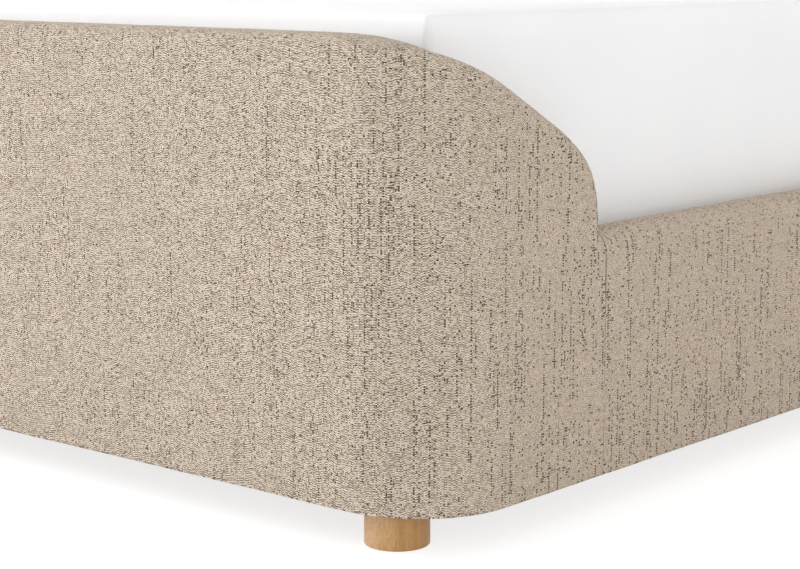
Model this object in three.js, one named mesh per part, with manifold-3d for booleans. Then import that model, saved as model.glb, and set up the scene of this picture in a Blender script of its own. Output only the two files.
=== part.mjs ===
// Low-profile upholstered bed with a wrap-round footboard and headboard, millimetres, +Z up.
// Frame: origin on the floor at the centre of the plan, foot end towards -Y, head end towards +Y.
// Every panel is a plywood core, a foam sleeve over it and a fabric cover over the foam.
import * as THREE from 'three';
import { mergeVertices } from 'three/addons/utils/BufferGeometryUtils.js';
import Module from 'manifold-3d';

const wasm = await Module();
wasm.setup();

// driving dimensions
const mattressWidth = 1525;
const mattressLength = 2030;
const mattressThick = 304;
const mattressSideGap = 20;      // clear space between mattress and upholstery
const mattressEndGap = 26;
const mattressEdge = 25;         // rounding of its top and bottom edges
const mattressCorner = 14;       // rounding of its upright corners
const shellThick = 60;           // fabric to fabric, every panel
const bedWidth = mattressWidth + 2 * (mattressSideGap + shellThick);
const bedLength = mattressLength + 2 * (mattressEndGap + shellThick);
const cornerRadius = 127;        // outside corners in plan
const hemHeight = 45.2;          // underside of the upholstery above the floor
const railTop = 339.5;
const footTop = 572;
const headTop = 1068;
const footWingRun = 387.6;       // developed length of a wing from the start of its corner
const headWingRun = 440;
const boardRoll = 11;            // top edge radius of the two boards
const wingRoll = 15;             // the same edge towards the end of a wing
const railRoll = 26;             // nearly a full bullnose, from the wing's end along the rail
const rollEasesFrom = 0.67;      // share of a wing's run where its roll starts to grow
const hemRoll = 5;
const hemReturn = 28;            // how far the fabric is turned in under the panel
const linerBottom = 292;         // lower edge of foam and fabric on the inside
const coverThick = 1.6;
const foamThick = 8;
const slack = 0.3;
const seam = 0.4;                // joint between a board's wing and the side rail

const slatCount = 12;
const slatWidth = 90;
const slatThick = 18;
const slatBottom = 270;
const slatClear = 16;            // each end of a slat from the inner face of the rail board
const slatFirst = 150;           // first slat's centre line from the outside of the footboard
const ledgeWidth = 35;
const ledgeHeight = 45;
const beamWidth = 50;
const beamHeight = 70;
const centreLegRadius = 25;
const centreLegOffset = 480;

const footRadius = 37.5;
const footInsetX = 107;          // foot centre from the side face
const footInsetY = 65;           // foot centre from the end face
const footChamfer = 1.5;
const footHoleFloor = 12;
const footBoltLength = 70;
const boltRadius = 4;
const holeRadius = 4.3;
const strapWidth = 25;
const strapThick = 1.2;
const strapOffset = 480;

// edge of the footboard's wing, as run along the cloth and height
// the headboard's is the same curve drawn out
const wingFall = [[-70, 572], [125, 572], [180, 527], [271, 481]];
const wingShoulder = [[271, 481], [348.6, 441.8], [387.6, 430], [387.6, 339.5]];

// derived
const coreInset = coverThick + foamThick + 2 * slack;
const coreInner = shellThick - coreInset;     // inner face of a core, measured from outside
const halfWidth = bedWidth / 2;
const halfLength = bedLength / 2;
const flatHalf = halfWidth - cornerRadius;
const arcRun = cornerRadius * Math.PI / 2;
const footSeamY = cornerRadius + footWingRun - arcRun;
const headSeamY = cornerRadius + headWingRun - arcRun;
const cornerSteps = 8;
const shoulderSteps = 7;
const fanSteps = 3;
const rollSteps = 3;
const hemSteps = 2;
const mattressSteps = 4;

// materials
const look = (color, roughness, metalness = 0) => ({ color, roughness, metalness });
const fabricLook = look(0xc9b49b, 0.95);
const foamLook = look(0xe9e2cf, 0.9);
const plyLook = look(0xcfa878, 0.7);
const pineLook = look(0xdcb886, 0.65);
const beechLook = look(0xd9a36b, 0.5);
const steelLook = look(0x9a9c9e, 0.35, 0.9);
const blackSteelLook = look(0x2b2c2e, 0.5, 0.7);
const webLook = look(0xd8d4cb, 0.9);
const tickingLook = look(0xf3f2f0, 0.95);

const bed = new THREE.Group();

function put(name, geometry, finish, parent = bed) {
  const mesh = new THREE.Mesh(geometry, new THREE.MeshStandardMaterial(finish));
  mesh.name = name;
  parent.add(mesh);
  return mesh;
}

// closed meshes from rows of points
function signedVolume(points, faces) {
  let total = 0;
  for (const [a, b, c] of faces) {
    total += points[a].dot(new THREE.Vector3().crossVectors(points[b], points[c]));
  }
  return total / 6;
}

// points that fall together become one, and the triangles they flatten are left out
function toGeometry(points, faces) {
  const flip = signedVolume(points, faces) < 0;
  const seen = new Map();
  const same = points.map((p, i) => {
    const key = [p.x, p.y, p.z].map((v) => Math.round(v * 1000)).join(',');
    if (!seen.has(key)) {
      seen.set(key, i);
    }
    return seen.get(key);
  });
  const index = [];
  for (const face of faces) {
    const [a, b, c] = face.map((i) => same[i]);
    if (a !== b && b !== c && c !== a) {
      index.push(a, flip ? c : b, flip ? b : c);
    }
  }
  const geometry = new THREE.BufferGeometry();
  const flat = points.flatMap((p) => [p.x, p.y, p.z]);
  geometry.setAttribute('position', new THREE.Float32BufferAttribute(flat, 3));
  geometry.setIndex(index);
  geometry.computeVertexNormals();
  return geometry;
}

// joins equal-length closed loops into a skin and closes both ends with the flat shape given;
// from point `turn` on a loop runs back along a sleeve's inside, so its quads split the other way
function skinLoops(loops, firstCap, lastCap, turn = Infinity) {
  const count = loops[0].length;
  const points = loops.flat();
  const faces = [];
  for (let i = 0; i + 1 < loops.length; i += 1) {
    for (let j = 0; j < count; j += 1) {
      const k = (j + 1) % count;
      const a = i * count + j;
      const b = i * count + k;
      if (j < turn) {
        faces.push([a, b, b + count], [a, b + count, a + count]);
      } else {
        faces.push([a, b, a + count], [b, b + count, a + count]);
      }
    }
  }
  const last = (loops.length - 1) * count;
  for (const [a, b, c] of THREE.ShapeUtils.triangulateShape(firstCap, [])) {
    faces.push([c, b, a]);
  }
  for (const [a, b, c] of THREE.ShapeUtils.triangulateShape(lastCap, [])) {
    faces.push([last + a, last + b, last + c]);
  }
  return toGeometry(points, orientCaps(faces, points, count, loops.length));
}

// a cap triangle runs the opposite way round to the wall triangle on its edge
function orientCaps(faces, points, count, rows) {
  const wallEdges = new Set();
  const wallCount = (rows - 1) * count * 2;
  for (let i = 0; i < wallCount; i += 1) {
    const [a, b, c] = faces[i];
    wallEdges.add(`${a},${b}`);
    wallEdges.add(`${b},${c}`);
    wallEdges.add(`${c},${a}`);
  }
  const ends = [[], []];
  for (const face of faces.slice(wallCount)) {
    ends[face[0] < count ? 0 : 1].push(face);
  }
  const out = faces.slice(0, wallCount);
  for (const cap of ends) {
    const clash = cap.some(([a, b, c]) => wallEdges.has(`${a},${b}`)
      || wallEdges.has(`${b},${c}`) || wallEdges.has(`${c},${a}`));
    for (const [a, b, c] of cap) {
      out.push(clash ? [a, c, b] : [a, b, c]);
    }
  }
  return out;
}

// booleans
function toSolid(geometry) {
  const bare = geometry.clone();
  bare.deleteAttribute('normal');
  if (bare.getAttribute('uv')) {
    bare.deleteAttribute('uv');
  }
  const merged = mergeVertices(bare, 1e-4);
  const mesh = new wasm.Mesh({
    numProp: 3,
    vertProperties: new Float32Array(merged.getAttribute('position').array),
    triVerts: new Uint32Array(merged.index.array),
  });
  return new wasm.Manifold(mesh);
}

function fromSolid(solid) {
  const mesh = solid.getMesh();
  const geometry = new THREE.BufferGeometry();
  geometry.setAttribute('position', new THREE.Float32BufferAttribute(mesh.vertProperties, 3));
  geometry.setIndex(Array.from(mesh.triVerts));
  geometry.computeVertexNormals();
  return geometry;
}

function cut(geometry, tools) {
  let solid = toSolid(geometry);
  for (const tool of tools) {
    solid = solid.subtract(toSolid(tool));
  }
  return fromSolid(solid);
}

function join(a, b) {
  return fromSolid(toSolid(a).add(toSolid(b)));
}

// panel sections: points as [along, height, depth from the outside face]
function arcPoints(steps, place) {
  const out = [];
  for (let i = 0; i <= steps; i += 1) {
    const angle = (i / steps) * Math.PI / 2;
    out.push(place(Math.sin(angle), Math.cos(angle)));
  }
  return out;
}

// one side of a sleeve at one station, from the hem up over the top edge and down the inside
function skinPath(station, inset, hemDepth) {
  const { s, z, ns, nz, roll, sBottom } = station;
  const at = (d, n) => [s + ns * d, z + nz * d, n];
  const small = hemRoll - inset;
  const path = [[sBottom, hemHeight + inset, hemDepth]];
  path.push(...arcPoints(hemSteps, (si, co) => [
    sBottom, hemHeight + hemRoll - small * co, hemRoll - small * si]));
  path.push(...arcPoints(rollSteps, (si, co) => at(
    roll - (roll - inset) * si, roll - (roll - inset) * co)));
  path.push(...arcPoints(rollSteps, (si, co) => at(
    roll - (roll - inset) * co, shellThick - roll + (roll - inset) * si)));
  const qs = s + ns * roll;
  const qz = z + nz * roll;
  const share = (qz - linerBottom) / (qz - hemHeight);
  path.push([qs + (sBottom - qs) * share, linerBottom, shellThick - inset]);
  return path;
}

function sleeveLoop(station, outerInset, innerInset, hemDepth) {
  const outside = skinPath(station, outerInset, hemDepth);
  const inside = skinPath(station, innerInset, hemDepth);
  return outside.concat(inside.reverse());
}

const pathLength = 2 * rollSteps + hemSteps + 5;

const coverLoop = (station) => sleeveLoop(station, 0, coverThick, hemReturn);

// foam: outside skin just under the cover, inside skin just clear of the core
function foamLoop(station) {
  const outer = coverThick + slack;
  const inner = coreInset - slack;
  const { s, z, ns, nz, roll, sBottom } = station;
  const outside = skinPath(station, outer, inner);
  const at = (d, n) => [s + ns * d, z + nz * d, n];
  const qs = s + ns * roll;
  const qz = z + nz * roll;
  const share = (qz - linerBottom) / (qz - hemHeight);
  const inside = [
    [qs + (sBottom - qs) * share, linerBottom, shellThick - inner],
    at(roll, shellThick - inner),
    at(inner, shellThick - inner),
    at(inner, inner),
    at(roll, inner),
  ];
  return outside.concat(inside);
}

function coreLoop(station) {
  const { s, z, ns, nz, roll, sBottom } = station;
  const at = (d, n) => [s + ns * d, z + nz * d, n];
  const low = hemHeight + coverThick + slack;
  return [
    [sBottom, low, coreInset],
    at(roll, coreInset),
    at(coreInset, coreInset),
    at(coreInset, coreInner),
    at(roll, coreInner),
    [sBottom, low, coreInner],
  ];
}

// the swept top edge, as stations along the developed outside face
function bezier(p, t) {
  const u = 1 - t;
  const w = [u * u * u, 3 * u * u * t, 3 * u * t * t, t * t * t];
  const g = [3 * u * u, 6 * u * t, 3 * t * t];
  const value = [0, 1].map((k) => w[0] * p[0][k] + w[1] * p[1][k] + w[2] * p[2][k] + w[3] * p[3][k]);
  const slope = [0, 1].map((k) => g[0] * (p[1][k] - p[0][k]) + g[1] * (p[2][k] - p[1][k])
    + g[2] * (p[3][k] - p[2][k]));
  return { value, slope };
}

// share of a curve, 0 to 1, at which it passes the run given
function shareAt(p, s) {
  let low = 0;
  let high = 1;
  for (let i = 0; i < 40; i += 1) {
    const mid = (low + high) / 2;
    if (bezier(p, mid).value[0] < s) {
      low = mid;
    } else {
      high = mid;
    }
  }
  return high;
}

const evenly = (from, to, steps) => Array.from(
  { length: steps }, (_, i) => from + ((to - from) * (i + 1)) / steps);

// a long easy fall that starts before the corner, then a rounded shoulder dropping straight to the rail
function wingStations(top, run) {
  const wide = run / footWingRun;
  const tall = (top - railTop) / (footTop - railTop);
  const drawn = ([s, z]) => [s * wide, railTop + (z - railTop) * tall];
  const fall = wingFall.map(drawn);
  const shoulder = wingShoulder.map(drawn);
  const turn = shareAt(fall, 0);
  const leave = shareAt(fall, arcRun);
  const shares = [0, ...evenly(0, turn, 2), ...evenly(turn, leave, cornerSteps), ...evenly(leave, 1, 3)];
  const samples = shares.map((share) => bezier(fall, share));
  samples.push(...evenly(0, 1, shoulderSteps).map((share) => bezier(shoulder, share)));
  const stations = samples.map(({ value, slope }) => {
    const size = Math.hypot(slope[0], slope[1]);
    const share = Math.max(0, value[0] / run);
    const easing = THREE.MathUtils.smoothstep(share, rollEasesFrom, 1);
    return {
      s: value[0],
      z: value[1],
      ns: slope[1] / size,
      nz: -slope[0] / size,
      roll: boardRoll + (wingRoll - boardRoll) * share + (railRoll - wingRoll) * easing,
    };
  });
  for (let i = 1; i <= fanSteps; i += 1) {
    const angle = (i / fanSteps) * Math.PI / 2;
    stations.push({
      s: run,
      z: railTop,
      ns: -Math.cos(angle),
      nz: -Math.sin(angle),
      roll: railRoll,
    });
  }
  stations[stations.length - 1].ns = 0;
  spreadBottoms(stations, run);
  return stations;
}

// foot of each station: straight below inside the corner, then shared out evenly to the seam
function spreadBottoms(stations, run) {
  let total = 0;
  let start = null;
  stations.forEach((st, i) => {
    st.qs = st.s + st.ns * st.roll;
    st.qz = st.z + st.nz * st.roll;
    st.sBottom = st.qs;
    if (st.qs > arcRun) {
      if (start === null) {
        start = { s: st.qs };
      } else {
        const before = stations[i - 1];
        total += Math.hypot(st.qs - before.qs, st.qz - before.qz);
      }
      st.walk = total;
    }
  });
  for (const st of stations) {
    if (st.walk !== undefined) {
      st.sBottom = start.s + (run - start.s) * (st.walk / total);
    }
  }
}

// developed position -> plan position for a board whose outside face lies on y = 0
function boardPlan(s, depth) {
  if (s <= 0) {
    return [flatHalf + s, depth];
  }
  if (s <= arcRun) {
    const angle = s / cornerRadius;
    const radius = cornerRadius - depth;
    return [flatHalf + radius * Math.sin(angle), cornerRadius - radius * Math.cos(angle)];
  }
  return [halfWidth - depth, cornerRadius + s - arcRun];
}

function boardGeometry(stations, loopOf, end) {
  const loops = [];
  const capOf = (loop) => loop.map(([, z, n]) => new THREE.Vector2(n, z));
  const place = (side) => ([s, z, n]) => {
    const [x, y] = boardPlan(s, n);
    return new THREE.Vector3(side * x, end * (halfLength - y), z);
  };
  for (const st of stations.slice().reverse()) {
    loops.push(loopOf(st).map(place(-1)));
  }
  for (const st of stations) {
    loops.push(loopOf(st).map(place(1)));
  }
  const cap = capOf(loopOf(stations[stations.length - 1]));
  return skinLoops(loops, cap, cap, pathLength);
}

const railStation = { s: 0, z: railTop, ns: 0, nz: -1, roll: railRoll, sBottom: 0 };

function railGeometry(loopOf, side) {
  const loop = loopOf(railStation);
  const cap = loop.map(([, z, n]) => new THREE.Vector2(n, z));
  const ends = [-halfLength + footSeamY + seam, halfLength - headSeamY - seam];
  const loops = ends.map((y) => loop.map(([, z, n]) => new THREE.Vector3(side * (halfWidth - n), y, z)));
  return skinLoops(loops, cap, cap);
}

// hardware positions
const plateLong = 120;
const plateTall = 60;
const plateThick = 4;
const plateZ = 125;
const boltReach = 40;            // bolt from the seam, each way
const boltDepth = 16;
const holeDepth = 17;
const drillSpare = 5;            // how far the drill stands out of the board
const boltHeadRadius = 8;
const boltHeadCrown = 6.6;
const boltHeadTall = 4;
const boltHeadDome = 0.6;
const seams = [
  { tag: 'foot', y: -halfLength + footSeamY + seam / 2 },
  { tag: 'head', y: halfLength - headSeamY - seam / 2 },
];
const sides = [
  { tag: 'left', x: -1 },
  { tag: 'right', x: 1 },
];

function drill(side, y) {
  const hole = new THREE.CylinderGeometry(holeRadius, holeRadius, holeDepth + drillSpare, 16);
  hole.rotateZ(Math.PI / 2);
  hole.translate(side * (halfWidth - coreInner + (holeDepth - drillSpare) / 2), y, plateZ);
  return hole;
}

// headboard and footboard
const boards = [
  { tag: 'footboard', end: -1, stations: wingStations(footTop, footWingRun), seam: seams[0], away: -1 },
  { tag: 'headboard', end: 1, stations: wingStations(headTop, headWingRun), seam: seams[1], away: 1 },
];

function addBoard({ tag, end, stations, seam: joint, away }) {
  const holes = sides.map(({ x }) => drill(x, joint.y + away * boltReach));
  put(`${tag}_core`, cut(boardGeometry(stations, coreLoop, end), holes), plyLook);
  put(`${tag}_foam`, boardGeometry(stations, foamLoop, end), foamLook);
  put(`${tag}_cover`, boardGeometry(stations, coverLoop, end), fabricLook);
}

function addRail({ tag, x }) {
  const holes = seams.map(({ y }, i) => drill(x, y + (i === 0 ? 1 : -1) * boltReach));
  put(`rail_${tag}_board`, cut(railGeometry(coreLoop, x), holes), plyLook);
  put(`rail_${tag}_foam`, railGeometry(foamLoop, x), foamLook);
  put(`rail_${tag}_cover`, railGeometry(coverLoop, x), fabricLook);
}

// bolted plates over the four wing-to-rail joints
function addJoint(side, joint) {
  const shape = new THREE.Shape();
  shape.moveTo(-plateLong / 2, -plateTall / 2);
  shape.lineTo(plateLong / 2, -plateTall / 2);
  shape.lineTo(plateLong / 2, plateTall / 2);
  shape.lineTo(-plateLong / 2, plateTall / 2);
  for (const reach of [-boltReach, boltReach]) {
    const hole = new THREE.Path();
    hole.absarc(reach, 0, holeRadius, 0, Math.PI * 2, true);
    shape.holes.push(hole);
  }
  const flatCut = { depth: plateThick, bevelEnabled: false, curveSegments: 10 };
  const plate = new THREE.ExtrudeGeometry(shape, flatCut);
  plate.rotateX(Math.PI / 2);
  plate.rotateZ(Math.PI / 2);
  const mid = halfWidth - coreInner - slack - plateThick / 2;
  plate.center();
  plate.translate(side.x * mid, joint.y, plateZ);
  put(`joint_plate_${joint.tag}_${side.tag}`, plate, blackSteelLook);
  const headFrom = slack + plateThick + slack;
  for (const [name, reach] of [['a', -boltReach], ['b', boltReach]]) {
    const profile = [
      new THREE.Vector2(0, -boltDepth),
      new THREE.Vector2(boltRadius, -boltDepth),
      new THREE.Vector2(boltRadius, headFrom),
      new THREE.Vector2(boltHeadRadius, headFrom),
      new THREE.Vector2(boltHeadCrown, headFrom + boltHeadTall),
      new THREE.Vector2(0, headFrom + boltHeadTall + boltHeadDome),
    ];
    const bolt = new THREE.LatheGeometry(profile, 16);
    bolt.rotateZ(side.x * Math.PI / 2);
    bolt.translate(side.x * (halfWidth - coreInner), joint.y + reach, plateZ);
    put(`joint_bolt_${joint.tag}_${side.tag}_${name}`, bolt, steelLook);
  }
}

// turned feet on corner blocks
const blockTall = 45;
const blockFar = 152;            // reach of the block along each face
const blockCut = 112;            // where its inner corner is sawn off
const blockFlat = 8;             // straight run past the rounded corner
const blockClear = 0.9;          // keeps it off the faceted inside of the core

function addFoot(side, end) {
  const x = side.x * (halfWidth - footInsetX);
  const y = end.y * (halfLength - footInsetY);
  const top = hemHeight - slack;
  const profile = [
    new THREE.Vector2(0, 0),
    new THREE.Vector2(footRadius - footChamfer, 0),
    new THREE.Vector2(footRadius, footChamfer),
    new THREE.Vector2(footRadius, top),
    new THREE.Vector2(holeRadius, top),
    new THREE.Vector2(holeRadius, footHoleFloor),
    new THREE.Vector2(0, footHoleFloor),
  ];
  const foot = new THREE.LatheGeometry(profile, 40);
  foot.rotateX(Math.PI / 2);
  foot.translate(x, y, 0);
  put(`foot_${end.tag}_${side.tag}`, foot, beechLook);

  const bolt = new THREE.CylinderGeometry(boltRadius, boltRadius, footBoltLength, 16);
  bolt.rotateX(Math.PI / 2);
  bolt.translate(x, y, footHoleFloor + 1 + footBoltLength / 2);
  put(`foot_bolt_${end.tag}_${side.tag}`, bolt, steelLook);

  put(`corner_block_${end.tag}_${side.tag}`, cornerBlock(side, end), pineLook);
}

function cornerBlock(side, end) {
  const near = coreInner + slack;
  const radius = cornerRadius - near - blockClear;
  const shape = new THREE.Shape();
  shape.moveTo(near, blockFar);
  shape.lineTo(near, cornerRadius + blockFlat);
  shape.lineTo(cornerRadius - radius, cornerRadius);
  shape.absarc(cornerRadius, cornerRadius, radius, Math.PI, Math.PI * 1.5, false);
  shape.lineTo(cornerRadius + blockFlat, near);
  shape.lineTo(blockFar, near);
  shape.lineTo(blockFar, blockCut);
  shape.lineTo(blockCut, blockFar);
  const hole = new THREE.Path();
  hole.absarc(footInsetX, footInsetY, holeRadius, 0, Math.PI * 2, true);
  shape.holes.push(hole);
  const sawn = { depth: blockTall, bevelEnabled: false, curveSegments: 8 };
  const block = new THREE.ExtrudeGeometry(shape, sawn);
  block.translate(-halfWidth, -halfLength, hemHeight + slack);
  return mirrored(block, -side.x, -end.y);
}

// mirrors a solid in plan and keeps its faces pointing out
function mirrored(geometry, mx, my) {
  geometry.scale(mx, my, 1);
  if (mx * my < 0) {
    const bare = geometry.index ? geometry.toNonIndexed() : geometry;
    const pos = bare.getAttribute('position');
    for (let i = 0; i < pos.count; i += 3) {
      const b = new THREE.Vector3().fromBufferAttribute(pos, i + 1);
      const c = new THREE.Vector3().fromBufferAttribute(pos, i + 2);
      pos.setXYZ(i + 1, c.x, c.y, c.z);
      pos.setXYZ(i + 2, b.x, b.y, b.z);
    }
    bare.computeVertexNormals();
    return bare;
  }
  return geometry;
}

// centre beam, its hangers and legs, side ledges
function boxAt(sx, sy, sz, x, y, z) {
  const box = new THREE.BoxGeometry(sx, sy, sz);
  box.translate(x, y, z);
  return box;
}

const supportTop = slatBottom - slack;
const hangerWall = 3;
const hangerTall = 42;
const hangerDeep = 40;
const hangerWide = 110;

function addSupports() {
  const ledgeLong = bedLength - 2 * (cornerRadius + 1);
  for (const { tag, x } of sides) {
    const mid = halfWidth - coreInner - slack - ledgeWidth / 2;
    const box = boxAt(ledgeWidth, ledgeLong, ledgeHeight, x * mid, 0, supportTop - ledgeHeight / 2);
    put(`slat_ledge_${tag}`, box, pineLook);
  }
  const beamLong = bedLength - 2 * (coreInner + slack + hangerWall + slack);
  const beam = boxAt(beamWidth, beamLong, beamHeight, 0, 0, supportTop - beamHeight / 2);
  put('centre_beam', beam, pineLook);
  const beamBottom = supportTop - beamHeight;
  for (const { tag, y } of [{ tag: 'foot', y: -1 }, { tag: 'head', y: 1 }]) {
    put(`beam_hanger_${tag}`, beamHanger(y, beamBottom), blackSteelLook);
    const profile = [
      new THREE.Vector2(0, 0),
      new THREE.Vector2(centreLegRadius - footChamfer, 0),
      new THREE.Vector2(centreLegRadius, footChamfer),
      new THREE.Vector2(centreLegRadius, beamBottom - slack),
      new THREE.Vector2(0, beamBottom - slack),
    ];
    const leg = new THREE.LatheGeometry(profile, 24);
    leg.rotateX(Math.PI / 2);
    leg.translate(0, y * centreLegOffset, 0);
    put(`centre_leg_${tag}`, leg, beechLook);
  }
}

function beamHanger(end, beamBottom) {
  const inside = beamWidth / 2 + slack;
  const low = beamBottom - slack;
  const wall = hangerWall;
  const tall = hangerTall;
  const shape = new THREE.Shape();
  shape.moveTo(-inside - wall, low - wall);
  shape.lineTo(inside + wall, low - wall);
  shape.lineTo(inside + wall, low + tall);
  shape.lineTo(inside, low + tall);
  shape.lineTo(inside, low);
  shape.lineTo(-inside, low);
  shape.lineTo(-inside, low + tall);
  shape.lineTo(-inside - wall, low + tall);
  const saddle = new THREE.ExtrudeGeometry(shape, { depth: hangerDeep, bevelEnabled: false });
  saddle.rotateX(Math.PI / 2);
  saddle.translate(0, halfLength - coreInner - slack - 1, 0);
  const plateY = halfLength - coreInner - slack - wall / 2;
  const plate = boxAt(hangerWide, wall, tall + wall, 0, plateY, low - wall + (tall + wall) / 2);
  const hanger = join(saddle, plate);
  return mirrored(hanger, 1, end);
}

// slat roll: slats joined by two webbing straps
function addSlats() {
  const slatLong = bedWidth - 2 * (coreInner + slatClear);
  const pitch = (bedLength - 2 * slatFirst) / (slatCount - 1);
  for (let i = 0; i < slatCount; i += 1) {
    const y = -halfLength + slatFirst + i * pitch;
    const label = String(i + 1).padStart(2, '0');
    put(`slat_${label}`, boxAt(slatLong, slatWidth, slatThick, 0, y, slatBottom + slatThick / 2), pineLook);
  }
  const strapLong = bedLength - 2 * (slatFirst - slatWidth / 2 + 6);
  for (const { tag, x } of sides) {
    const strap = boxAt(strapWidth, strapLong, strapThick, x * strapOffset, 0,
      slatBottom - slack - strapThick / 2);
    put(`slat_strap_${tag}`, strap, webLook);
  }
}

// mattress: a soft-edged block
function roundedLoop(halfX, halfY, radius, z, steps) {
  const loop = [];
  const corners = [[1, 1, 0], [-1, 1, 1], [-1, -1, 2], [1, -1, 3]];
  for (const [cx, cy, quarter] of corners) {
    for (let i = 0; i <= steps; i += 1) {
      const angle = (quarter + i / steps) * Math.PI / 2;
      loop.push(new THREE.Vector3(
        cx * (halfX - radius) + radius * Math.cos(angle),
        cy * (halfY - radius) + radius * Math.sin(angle),
        z,
      ));
    }
  }
  return loop;
}

function addMattress() {
  const base = slatBottom + slatThick + slack;
  const edge = mattressEdge;
  const steps = mattressSteps;
  const loops = [];
  for (let i = 0; i <= steps; i += 1) {
    const angle = (i / steps) * Math.PI / 2;
    const pull = edge * (1 - Math.sin(angle));
    loops.push([pull, base + edge * (1 - Math.cos(angle))]);
  }
  for (let i = 0; i <= steps; i += 1) {
    const angle = (i / steps) * Math.PI / 2;
    const pull = edge * (1 - Math.cos(angle));
    loops.push([pull, base + mattressThick - edge * (1 - Math.sin(angle))]);
  }
  const rings = loops.map(([pull, z]) => {
    const corner = Math.max(mattressCorner - pull, 1);
    return roundedLoop(mattressWidth / 2 - pull, mattressLength / 2 - pull, corner, z, steps);
  });
  const cap = rings[0].map((p) => new THREE.Vector2(p.x, p.y));
  put('mattress', skinLoops(rings, cap, cap), tickingLook);
}

boards.forEach(addBoard);
sides.forEach(addRail);
for (const side of sides) {
  for (const joint of seams) {
    addJoint(side, joint);
  }
  for (const end of [{ tag: 'foot', y: -1 }, { tag: 'head', y: 1 }]) {
    addFoot(side, end);
  }
}
addSupports();
addSlats();
addMattress();

export default bed;
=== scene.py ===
# Low upholstered bed: oatmeal weave over padded boards, white mattress, slatted base, turned feet.
import math

import bmesh
import bpy
from mathutils import Matrix, Vector, noise


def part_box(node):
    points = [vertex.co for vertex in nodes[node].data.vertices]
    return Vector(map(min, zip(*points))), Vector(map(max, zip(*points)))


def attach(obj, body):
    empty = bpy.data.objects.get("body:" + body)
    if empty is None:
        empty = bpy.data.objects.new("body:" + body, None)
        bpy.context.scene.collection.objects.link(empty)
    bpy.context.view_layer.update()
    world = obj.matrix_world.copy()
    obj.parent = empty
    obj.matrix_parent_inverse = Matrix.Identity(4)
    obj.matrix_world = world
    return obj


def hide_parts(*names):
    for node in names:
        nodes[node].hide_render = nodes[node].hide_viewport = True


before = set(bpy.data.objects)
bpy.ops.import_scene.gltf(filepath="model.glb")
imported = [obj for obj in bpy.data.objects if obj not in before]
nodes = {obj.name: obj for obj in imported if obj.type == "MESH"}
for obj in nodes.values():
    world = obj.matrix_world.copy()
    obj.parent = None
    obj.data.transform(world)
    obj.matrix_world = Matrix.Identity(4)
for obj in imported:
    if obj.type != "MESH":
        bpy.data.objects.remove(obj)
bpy.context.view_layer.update()   # frame["bodies"], ["nodes"], ["joints"], ["record"]
print("frame loaded:", len(nodes), "nodes")

# sizes that several pieces share: the boxes come from the frame, the corner radius is the boards' own
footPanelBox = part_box("footboard_cover")
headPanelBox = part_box("headboard_cover")
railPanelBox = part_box("rail_right_cover")
halfWidth = footPanelBox[1].x
halfLength = headPanelBox[1].y
hemHeight = footPanelBox[0].z
railTop = railPanelBox[1].z
cornerRadius = 0.127
flatHalf = halfWidth - cornerRadius     # half of a board's straight stretch
arcRun = cornerRadius * math.pi / 2     # cloth that one corner takes up
sharpAngle = math.radians(40)           # edges sharper than this stay crisp
noiseBand = (0.3, 0.7)                  # most of a noise texture lies between these


def tone(red, green, blue):
    # screen values from 0 to 255 become the linear ones that shaders take
    screen = (red, green, blue)
    return tuple(((c / 255 + 0.055) / 1.055) ** 2.4 if c > 10 else c / 3294 for c in screen) + (1.0,)


# helpers that build the finishes
socketNames = {
    "roughness": "Roughness", "metallic": "Metallic", "specular": "Specular IOR Level",
    "sheen": "Sheen Weight", "sheenRoughness": "Sheen Roughness",
}


def startFinish(name, **fixed):
    finish = bpy.data.materials.new(name)
    finish.use_nodes = True
    shader = finish.node_tree.nodes["Principled BSDF"]
    for label, value in fixed.items():
        shader.inputs[socketNames[label]].default_value = value
    return finish, finish.node_tree, shader


def feed(tree, socket, value):
    if isinstance(value, bpy.types.NodeSocket):
        tree.links.new(value, socket)
    else:
        socket.default_value = value


def calc(tree, operation, *values, clamp=False):
    made = tree.nodes.new("ShaderNodeMath")
    made.operation = operation
    made.use_clamp = clamp
    for socket, value in zip(made.inputs, values):
        feed(tree, socket, value)
    return made.outputs[0]


def plus(tree, first, second):
    return calc(tree, "ADD", first, second)


def minus(tree, first, second):
    return calc(tree, "SUBTRACT", first, second)


def times(tree, first, second):
    return calc(tree, "MULTIPLY", first, second)


def offMiddle(tree, value):
    # 0 in the middle of each whole step of the value, 0.5 at its ends
    return calc(tree, "ABSOLUTE", minus(tree, calc(tree, "FRACT", value), 0.5))


def remap(tree, value, low, high, outLow=0.0, outHigh=1.0, kind="SMOOTHSTEP"):
    made = tree.nodes.new("ShaderNodeMapRange")
    made.interpolation_type = kind
    for socket, given in zip(made.inputs, (value, low, high, outLow, outHigh)):
        feed(tree, socket, given)
    return made.outputs[0]


def blendTone(tree, share, first, second):
    made = tree.nodes.new("ShaderNodeMix")
    made.data_type = "RGBA"   # its colour sockets are inputs 6 and 7 and output 2
    feed(tree, made.inputs[0], share)
    feed(tree, made.inputs[6], first)
    feed(tree, made.inputs[7], second)
    return made.outputs[2]


def stretched(tree, vector, scale, shift=(0.0, 0.0, 0.0)):
    made = tree.nodes.new("ShaderNodeMapping")
    feed(tree, made.inputs["Vector"], vector)
    made.inputs["Scale"].default_value = scale
    made.inputs["Location"].default_value = shift
    return made.outputs[0]


def fractal(tree, vector, scale=1.0, detail=2.0, distortion=0.0):
    made = tree.nodes.new("ShaderNodeTexNoise")
    feed(tree, made.inputs["Vector"], vector)
    made.inputs["Scale"].default_value = scale
    made.inputs["Detail"].default_value = detail
    made.inputs["Distortion"].default_value = distortion
    return made.outputs[0]


def combine(tree, x, y, z=0.0):
    made = tree.nodes.new("ShaderNodeCombineXYZ")
    for socket, value in zip(made.inputs, (x, y, z)):
        feed(tree, socket, value)
    return made.outputs[0]


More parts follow.
